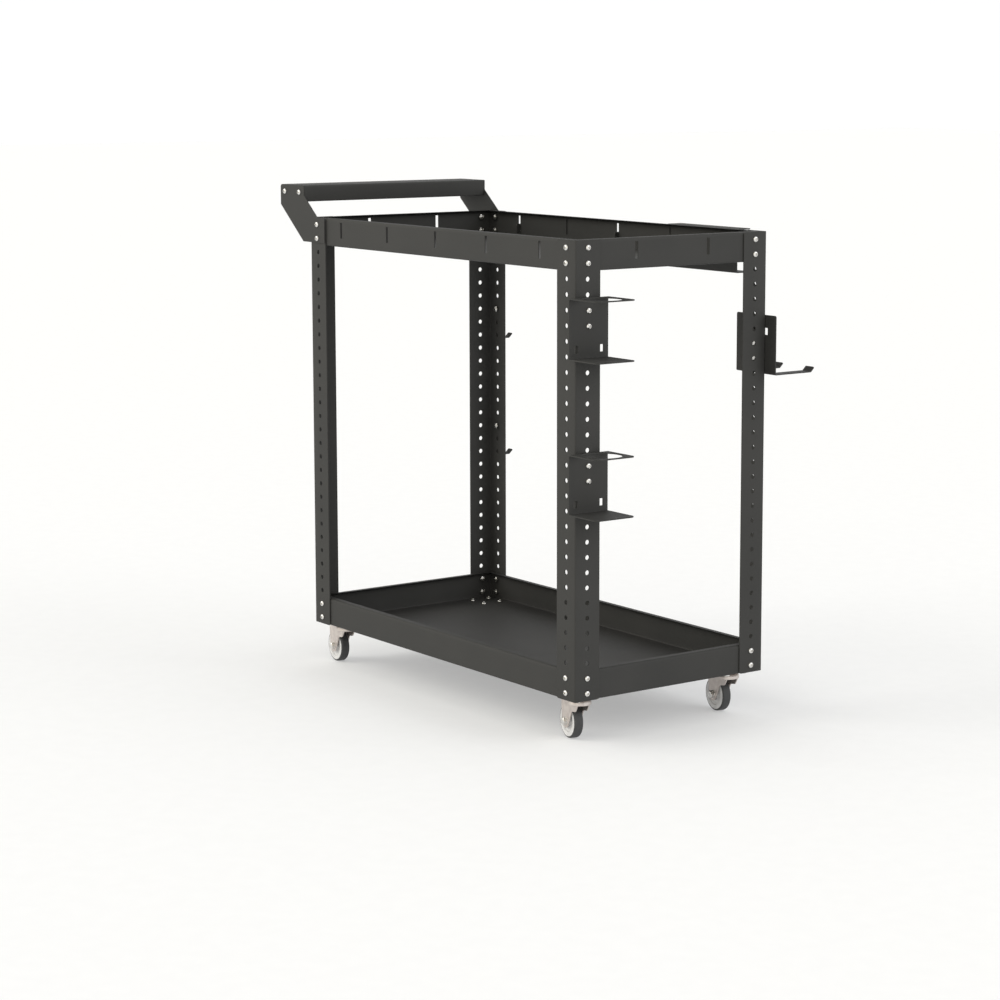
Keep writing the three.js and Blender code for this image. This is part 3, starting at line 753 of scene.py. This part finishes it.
def build_channel_rack():
    """A channel on the left wall of the top tray, hung by two tabs."""
    low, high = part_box("channel_rack")
    face = CENTRE.y + TRAY_HALF_Y + GAP
    path = BendPath([(high.y, high.z), (face, high.z), (face, low.z), (high.y, low.z)],
                    [HOLDER_BEND, HOLDER_BEND])
    outline = rounded(rectangle(0, path.length, low.x, high.x), [3 * MM] * 4)
    mesh = bmesh.new()
    add_folded(mesh, outline, [], path, HOLDER_SHEET,
               lambda section, t: Vector((t, section.x, section.y)))
    for step in (1, 2):
        add_wall_tab(mesh, CENTRE.x + step * SLOT_PITCH - HOLDER_SHEET / 2, face + HOLDER_SHEET / 2)
    finished("channel_holder", mesh, PAINT, "frame", ["channel_rack"])


def build_shelf_rack():
    """A shelf on the left wall of the top tray, hung by a tab at each end."""
    low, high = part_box("shelf_rack")
    face = CENTRE.y + TRAY_HALF_Y + GAP
    middle = face + HOLDER_SHEET / 2
    shoulder = TRAY_LOW.z + SHELF_SHOULDER
    path = BendPath([(face, high.z), (face, low.z), (high.y, low.z)], [HOLDER_BEND])
    step = high.z - shoulder
    corners = [(0, low.x + SHELF_NOTCH), (step, low.x + SHELF_NOTCH), (step, low.x),
               (path.length, low.x), (path.length, high.x), (step, high.x),
               (step, high.x - SHELF_NOTCH), (0, high.x - SHELF_NOTCH)]
    radii = [3 * MM, 2 * MM, 2 * MM, 3 * MM]
    mesh = bmesh.new()
    add_folded(mesh, rounded(corners, radii + radii[::-1]), [], path, HOLDER_SHEET,
               lambda section, t: Vector((t, section.x, section.y)))
    cheek = [(middle, low.z + HOLDER_SHEET / 2), (high.y, low.z + HOLDER_SHEET / 2),
             (face + HOLDER_SHEET, shoulder), (middle, shoulder)]
    cheek = rounded(cheek, [0, 2 * MM, 0, 0])
    for x0 in (low.x, high.x - HOLDER_SHEET):
        add_plate(mesh, cheek, [], lambda u, v, d, x0=x0: Vector((x0 + d, u, v)), HOLDER_SHEET)
        add_wall_tab(mesh, x0, middle)
    finished("shelf_holder", mesh, PAINT, "frame", ["shelf_rack"])


# ---------------------------------------------------------------- fasteners

def screw_transform(seat, direction):
    """Turns +Z to a screw's direction and moves it to the seat of its head."""
    return Matrix.Translation(seat) @ Vector(direction).to_track_quat("Z", "Y").to_matrix().to_4x4()


def dome_rings(rise, degrees):
    """Rings of a domed head over its rim, at angles round a dome that is `rise` high."""
    angles = [math.radians(a) for a in degrees]
    return [(HEAD_RADIUS * math.cos(a), HEAD_RIM + rise * math.sin(a), False) for a in angles]


def add_screw(mesh, seat, direction, grip):
    """A button-head socket screw with its nut. The foot of its head is at `seat`."""
    transform = screw_transform(Vector(seat) + Vector(direction) * 0.05 * MM, direction)
    degrees = [4 + k * 11.5 for k in range(6)]
    rise = (HEAD_HEIGHT - HEAD_RIM) / math.sin(math.radians(degrees[-1]))
    dome = dome_rings(rise, degrees)
    rings = [(SHANK_RADIUS, -grip, False), (SHANK_RADIUS, 0, False), (HEAD_RADIUS - 0.1 * MM, 0, False),
             (HEAD_RADIUS, 0.2 * MM, False), *dome, (SOCKET_RADIUS * 1.12, HEAD_HEIGHT, False),
             (SOCKET_RADIUS, HEAD_HEIGHT - 0.15 * MM, True),
             (SOCKET_RADIUS, HEAD_HEIGHT - SOCKET_DEPTH, True),
             (0.3 * MM, HEAD_HEIGHT - SOCKET_DEPTH - 0.4 * MM, False)]
    add_turned(mesh, rings, 24, transform)
    low = -grip - 0.1 * MM
    nut = [(SHANK_RADIUS * 0.7, low - NUT_HEIGHT - 0.2 * MM, False),
           (SHANK_RADIUS * 0.95, low - NUT_HEIGHT + 0.1 * MM, False),
           (SHANK_RADIUS * 1.1, low - NUT_HEIGHT + 0.5 * MM, False),
           (NUT_RADIUS * 0.92, low - NUT_HEIGHT + 0.5 * MM, False),
           (NUT_RADIUS, low - NUT_HEIGHT + 1 * MM, True), (NUT_RADIUS, low - 0.4 * MM, True),
           (NUT_RADIUS * 0.95, low, False)]
    add_turned(mesh, nut, 24, transform)


def screw_piece(node, seat, direction, grip):
    """One screw as a piece of its own, which stands for a CAD node."""
    mesh = bmesh.new()
    add_screw(mesh, seat, direction, grip)
    finished(f"bolt_{node}", mesh, STEEL, "frame", [node], bevel=0, sharp=40)


def build_listed_screws():
    """The screws that are CAD nodes, each at its node's place."""
    bracket_face = HALF_WIDTH + GAP + BRACKET_SHEET
    for side, sign in (("right", -1), ("left", 1)):
        y = CENTRE.y + sign * bracket_face
        for i, x in enumerate(handle_screw_columns()):
            name = f"screw_handle_{side}_{i + 1}"
            screw_piece(name, (x, y, handle_screw_level()), (0, sign, 0), BAR_SCREW_GRIP)
        for row in (0, 1):
            x = CENTRE.x - HALF_LENGTH + HOLE_INSET
            name = f"screw_bracket_{side}_{row + 1}"
            screw_piece(name, (x, y, hole_level(row)), (0, sign, 0), BRACKET_SCREW_GRIP)
    grip = POST_SHEET + HOLDER_SHEET + GAP
    end_face = CENTRE.x + HALF_LENGTH + GAP + HOLDER_SHEET
    side_face = CENTRE.y + HALF_WIDTH + GAP + HOLDER_SHEET
    for place_name, row in CAN_ROWS.items():
        for step in (0, 1):
            name = f"screw_can_{place_name}_{step + 1}"
            seat = (end_face, CENTRE.y - HALF_WIDTH + HOLE_INSET, hole_level(row + step))
            screw_piece(name, seat, (1, 0, 0), grip)
    for place_name, row in HOOK_ROWS.items():
        name = f"screw_hook_{place_name}"
        seat = (CENTRE.x - HALF_LENGTH + HOLE_INSET, side_face, hole_level(row))
        screw_piece(name, seat, (0, 1, 0), grip)
    for step in (0, 1):
        name = f"screw_fork_{step + 1}"
        seat = (CENTRE.x + HALF_LENGTH - HOLE_INSET, side_face, hole_level(FORK_ROW + step))
        screw_piece(name, seat, (0, 1, 0), grip)


def build_corner_screws(corner, end_sign, side_sign):
    """The screws that hold the trays in one post. The handle's brackets have their own."""
    mesh = bmesh.new()
    grip = POST_SHEET + GAP + TRAY_SHEET
    column_x = CENTRE.x + end_sign * (HALF_LENGTH - HOLE_INSET)
    column_y = CENTRE.y + side_sign * (HALF_WIDTH - HOLE_INSET)
    for row in (0, 1, HOLE_ROWS - 2, HOLE_ROWS - 1):
        seat = (CENTRE.x + end_sign * HALF_LENGTH, column_y, hole_level(row))
        add_screw(mesh, seat, (end_sign, 0, 0), grip)
        if end_sign < 0 and row < 2:
            continue
        seat = (column_x, CENTRE.y + side_sign * HALF_WIDTH, hole_level(row))
        add_screw(mesh, seat, (0, side_sign, 0), grip)
    finished(f"corner_screws_{corner}", mesh, STEEL, "frame", bevel=0, sharp=40)


# ---------------------------------------------------------------- casters

def caster_frame(corner):
    """The kingpin's place on the floor, the same turned along the caster's trail, and the trail."""
    joints = {j["name"]: j for j in frame["joints"]}
    kingpin = Vector(joints[f"swivel_{corner}"]["pos_m"])
    axle = Vector(joints[f"spin_{corner}"]["pos_m"])
    trail = Vector((axle.x - kingpin.x, axle.y - kingpin.y))
    turn = math.atan2(trail.y, trail.x)
    fixed = Matrix.Translation((kingpin.x, kingpin.y, 0))
    return fixed, fixed @ Matrix.Rotation(turn, 4, "Z"), trail.length


def build_caster_mount(corner, fixed):
    """The bolt plate with its upper race and kingpin, and the four bolts through the tray."""
    low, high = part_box(f"caster_mount_{corner}")
    top = high.z
    under = top - CASTER_PLATE_SHEET
    half = (high.x - low.x) / 2
    mesh = bmesh.new()
    holes = [circle(x * CASTER_BOLT, y * CASTER_BOLT, 3.4 * MM) for x in (-1, 1) for y in (-1, 1)]
    outline = rounded(rectangle(-half, half, -half, half), [6 * MM] * 4)
    add_plate(mesh, outline, holes, lambda u, v, d: fixed @ Vector((u, v, top - d)), CASTER_PLATE_SHEET)
    race = [(7 * MM, top - 15 * MM, False), (7.3 * MM, top - 14.2 * MM, False),
            (7 * MM, top - 12.5 * MM, False), (4.6 * MM, top - 12.5 * MM, False),
            (4.6 * MM, top - 6 * MM, False), (14.5 * MM, top - 6 * MM, False),
            (16.6 * MM, top - 5.2 * MM, False), (17.2 * MM, top - 4 * MM, False),
            (18 * MM, under + 0.3 * MM, False)]
    add_turned(mesh, race, 48, fixed)
    finished(f"caster_plate_{corner}", mesh, ZINC, "frame", [f"caster_mount_{corner}"], bevel=0.25 * MM)
    bolts = bmesh.new()
    floor_top = POST_FOOT + TRAY_SHEET
    grip = floor_top - under
    for x in (-1, 1):
        for y in (-1, 1):
            seat = fixed @ Vector((x * CASTER_BOLT, y * CASTER_BOLT, floor_top))
            add_caster_bolt(bolts, seat, grip)
    finished(f"caster_bolts_{corner}", bolts, STEEL, "frame", bevel=0, sharp=40)


def add_caster_bolt(mesh, seat, grip):
    """A domed bolt through the tray floor and the caster plate, with a thin nut below."""
    transform = Matrix.Translation(seat)
    dome = dome_rings(2.6 * MM, (4, 20, 36, 52, 64))
    rings = [(SHANK_RADIUS, -grip, False), (SHANK_RADIUS, 0, False), (HEAD_RADIUS, 0.1 * MM, False),
             *dome, (SOCKET_RADIUS * 1.1, 3 * MM, False), (SOCKET_RADIUS, 2.8 * MM, True),
             (SOCKET_RADIUS, 1.4 * MM, True), (0.3 * MM, 1.1 * MM, False)]
    add_turned(mesh, rings, 24, transform)
    low = -grip - 0.05 * MM
    nut = [(SHANK_RADIUS * 0.8, low - 3.4 * MM, False), (NUT_RADIUS * 0.92, low - 3.2 * MM, False),
           (NUT_RADIUS, low - 2.8 * MM, True), (NUT_RADIUS, low - 0.3 * MM, True),
           (NUT_RADIUS * 0.95, low, False)]
    add_turned(mesh, nut, 24, transform)


def yoke_cup(top, skirt):
    """The section of the yoke's cupped crown, as (radius, level) points."""
    wall = CROWN_RADIUS - YOKE_SHEET
    floor = top - 2.2 * MM
    bore = 4.9 * MM
    return [(bore, top), (bore, floor), (CROWN_RADIUS - 5 * MM, floor),
            (CROWN_RADIUS - 2.9 * MM, top - 3.2 * MM), (wall, top - 5 * MM), (wall, skirt),
            (CROWN_RADIUS - 1 * MM, skirt - 0.4 * MM), (CROWN_RADIUS, skirt),
            (CROWN_RADIUS, top - 4 * MM), (CROWN_RADIUS - 0.5 * MM, floor),
            (CROWN_RADIUS - 1.6 * MM, top - 0.8 * MM), (CROWN_RADIUS - 3.4 * MM, top)]


def yoke_cheek(top, skirt, trail):
    """The outline of one cheek: a lobe under the crown, and an arm down to the axle's boss."""
    axle = WHEEL_RADIUS
    corners = [(-15 * MM, top - 1.5 * MM), (-15.5 * MM, skirt + 1 * MM), (-7 * MM, skirt - 12 * MM),
               (6 * MM, skirt - 14 * MM), (19 * MM, axle + 11 * MM), (trail, axle + 30 * MM)]
    outline = rounded(corners, [2 * MM, 4 * MM, 6 * MM, 10 * MM, 0, 0])[:-2]
    for k in range(13):
        angle = math.radians(195 + k * 13.5)
        outline.append((trail + CHEEK_BOSS * math.cos(angle), axle + CHEEK_BOSS * math.sin(angle)))
    return outline + [(44 * MM, axle + 14 * MM), (45.5 * MM, axle + 22 * MM), (46 * MM, top - 8 * MM),
                      (45 * MM, top - 4 * MM), (42 * MM, top - 1.5 * MM)]


def build_caster_yoke(corner, turned, trail):
    """The stamped yoke: a cupped crown, a short bridge and two cheeks down to the axle."""
    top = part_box(f"caster_yoke_{corner}")[1].z
    skirt = top - YOKE_SKIRT
    mesh = bmesh.new()
    add_ring(mesh, yoke_cup(top, skirt), 64, turned)
    cheek = yoke_cheek(top, skirt, trail)
    hole = circle(trail, WHEEL_RADIUS, 4.2 * MM)
    for sign in (1, -1):
        add_plate(mesh, cheek, [hole],
                  lambda u, v, d, sign=sign: turned @ Vector((u, sign * CHEEK_FACE + sign * d, v)),
                  YOKE_SHEET)
    half = CHEEK_FACE + 1 * MM
    bridge = rounded(rectangle(8 * MM, 40 * MM, -half, half), [0, 4 * MM, 4 * MM, 0])
    add_plate(mesh, bridge, [], lambda u, v, d: turned @ Vector((u, v, top - 0.2 * MM - d)), YOKE_SHEET)
    finished(f"caster_fork_{corner}", mesh, ZINC, f"fork_{corner}", [f"caster_yoke_{corner}"],
             bevel=0.35 * MM)


def wheel_hub(turned, trail):
    """Turns +Z to the axle and moves it to the wheel's centre."""
    centre = Matrix.Translation((trail, 0, WHEEL_RADIUS))
    return turned @ centre @ Matrix.Rotation(math.pi / 2, 4, "X")


def build_caster_axle(corner, turned, trail):
    """The axle bolt, with a domed hexagon head and a nut outside the cheeks."""
    seat = CHEEK_FACE + YOKE_SHEET
    mesh = bmesh.new()
    half = [(2.4 * MM, seat + 6.2 * MM, False), (5.2 * MM, seat + 5.8 * MM, False),
            (6 * MM, seat + 5 * MM, True), (6 * MM, seat + 1.3 * MM, True),
            (6.1 * MM, seat + 1.2 * MM, False), (7.6 * MM, seat + 1.1 * MM, False),
            (7.8 * MM, seat, False), (4 * MM, seat, False)]
    rings = [(r, -z, h) for r, z, h in half] + [(r, z, h) for r, z, h in reversed(half)]
    add_turned(mesh, rings, 24, wheel_hub(turned, trail))
    finished(f"caster_bolt_axle_{corner}", mesh, STEEL, f"fork_{corner}", [f"caster_axle_{corner}"],
             bevel=0.15 * MM, sharp=30)


def both_sides(half):
    """A wheel's whole section from the half on one side, with its radii given in millimetres."""
    return [(r * MM, z) for r, z in half] + [(r * MM, -z) for r, z in reversed(half)]


def build_caster_wheel(corner, turned, trail):
    """The moulded wheel core and its tread."""
    hub = wheel_hub(turned, trail)
    face = WHEEL_WIDTH / 2
    core = bmesh.new()
    half = [(4.2, face + 1.2 * MM), (7.4, face + 1.2 * MM), (7.9, face + 0.9 * MM), (8.4, face - 2.4 * MM),
            (9.2, face - 3 * MM), (18.2, face - 3 * MM), (19.2, face - 2.6 * MM), (20.2, face - 0.4 * MM),
            (20.9, face - 0.05 * MM), (26.6, face - 0.15 * MM), (27, face - 0.7 * MM)]
    add_ring(core, both_sides(half), 72, hub)
    finished(f"wheel_core_{corner}", core, PLASTIC, f"wheel_{corner}", [f"caster_wheel_{corner}"],
             bevel=0, sharp=28)
    tread = bmesh.new()
    half = [(26.7, face - 0.9 * MM), (27.1, face - 0.25 * MM), (28, face - 0.4 * MM),
            (28.9, face - 1 * MM), (29.6, face - 1.9 * MM), (29.93, face - 3 * MM), (30, face - 5 * MM)]
    add_ring(tread, both_sides(half), 96, hub)
    finished(f"wheel_tread_{corner}", tread, RUBBER, f"wheel_{corner}", [f"caster_tyre_{corner}"],
             bevel=0, sharp=50)


# ---------------------------------------------------------------- stage

def build_stage():
    """White paper floor with a painted glow that lifts its shade, a bright surround and wide, soft lamps.
    """
    mesh = bmesh.new()
    bmesh.ops.create_grid(mesh, x_segments=1, y_segments=1, size=FLOOR_SIZE)
    data = bpy.data.meshes.new("floor")
    mesh.to_mesh(data)
    mesh.free()
    data.materials.append(floor_paper_painted_glow())
    floor = bpy.data.objects.new("floor", data)
    bpy.context.scene.collection.objects.link(floor)
    build_surround()
    for name, direction, strength, colour in LAMPS:
        light = bpy.data.lights.new(name, "SUN")
        light.energy = strength
        light.color = colour
        light.angle = math.radians(LAMP_ANGLE)
        lamp = bpy.data.objects.new(name, light)
        lamp.rotation_euler = Vector(direction).to_track_quat("Z", "Y").to_euler()
        bpy.context.scene.collection.objects.link(lamp)


def build_surround():
    """A white room: brightest at the horizon, dimmer overhead, and warm on the cart's right."""
    world = bpy.data.worlds.new("studio")
    world.use_nodes = True
    tree = world.node_tree
    background = tree.nodes["Background"]
    place = tree.nodes.new("ShaderNodeTexCoord")
    parts = tree.nodes.new("ShaderNodeSeparateXYZ")
    tree.links.new(place.outputs["Generated"], parts.inputs["Vector"])
    warmth = ranged(tree, parts.outputs["Y"], 1.0, 0.0, -0.9, 0.15)
    tree.links.new(mixed(tree, warmth, (1, 1, 1), WARM_SIDE), background.inputs["Color"])
    level = ranged(tree, parts.outputs["Z"], WORLD_HORIZON, WORLD_ZENITH, 0.12, 0.6)
    tree.links.new(level, background.inputs["Strength"])
    bpy.context.scene.world = world


def build_camera():
    """A long lens at the front right corner, a little above the cart."""
    data = bpy.data.cameras.new("camera")
    data.lens = CAMERA_LENS
    data.sensor_width = 36
    data.shift_x, data.shift_y = CAMERA_SHIFT
    data.clip_end = 100
    camera = bpy.data.objects.new("camera", data)
    turn = Matrix.Rotation(CAMERA_YAW, 4, "Z") @ Matrix.Rotation(math.pi / 2 - CAMERA_PITCH, 4, "X")
    camera.matrix_world = Matrix.Translation(CAMERA_PLACE) @ turn @ Matrix.Rotation(CAMERA_ROLL, 4, "Z")
    bpy.context.scene.collection.objects.link(camera)
    bpy.context.scene.camera = camera


# ---------------------------------------------------------------- the cart

for corner, (end_sign, side_sign) in CORNERS.items():
    build_post(corner, end_sign, side_sign)
    build_corner_screws(corner, end_sign, side_sign)
    fixed, turned, trail = caster_frame(corner)
    build_caster_mount(corner, fixed)
    build_caster_yoke(corner, turned, trail)
    build_caster_axle(corner, turned, trail)
    build_caster_wheel(corner, turned, trail)
build_tray("tray_top", True)
build_tray("tray_bottom", False)
build_handle_bar()
build_handle_bracket("right", -1)
build_handle_bracket("left", 1)
for place_name in ("upper", "lower"):
    build_can_holder(place_name, CAN_ROWS[place_name])
    build_single_hook(place_name, HOOK_ROWS[place_name])
build_fork_hook()
build_channel_rack()
build_shelf_rack()
build_listed_screws()
build_stage()
build_camera()

bpy.context.scene.view_settings.view_transform = "Standard"
bpy.context.view_layer.update()
